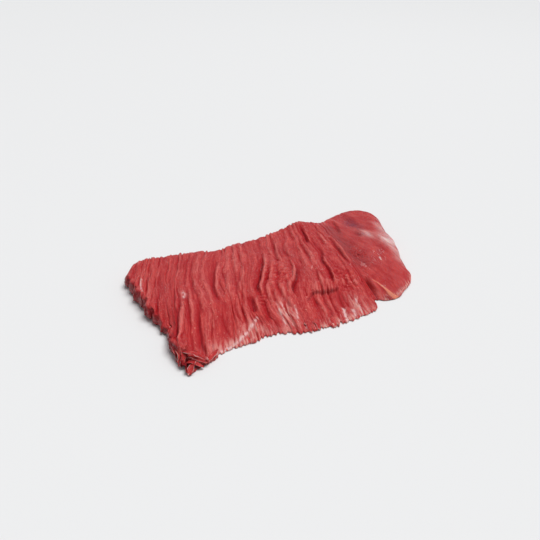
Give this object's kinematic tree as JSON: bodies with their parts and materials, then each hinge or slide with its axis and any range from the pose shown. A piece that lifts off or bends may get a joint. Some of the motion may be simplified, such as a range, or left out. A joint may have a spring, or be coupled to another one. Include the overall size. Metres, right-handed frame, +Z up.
{
  "type": "raw beef skirt steak",
  "caption": "Flat slab of raw skirt steak, ragged edges, deep clefts between bundles of fibres running across it, cut square at one end and with a smooth thin lobe at the other.",
  "frame": {"origin": "centre of the slab's bounding box in plan, on the flat underside it rests on", "axes": "+X along the slab towards the smooth thin lobe, +Y towards the far long edge in the picture, +Z up out of the top of the meat"},
  "size_m": [0.2446, 0.161, 0.0148],
  "materials": {
    "raw_meat": "moist raw red meat, fibrous, with a wet gloss"
  },
  "bodies": {
    "root": {"skirt_steak": "raw_meat"}
  },
  "joints": []
}
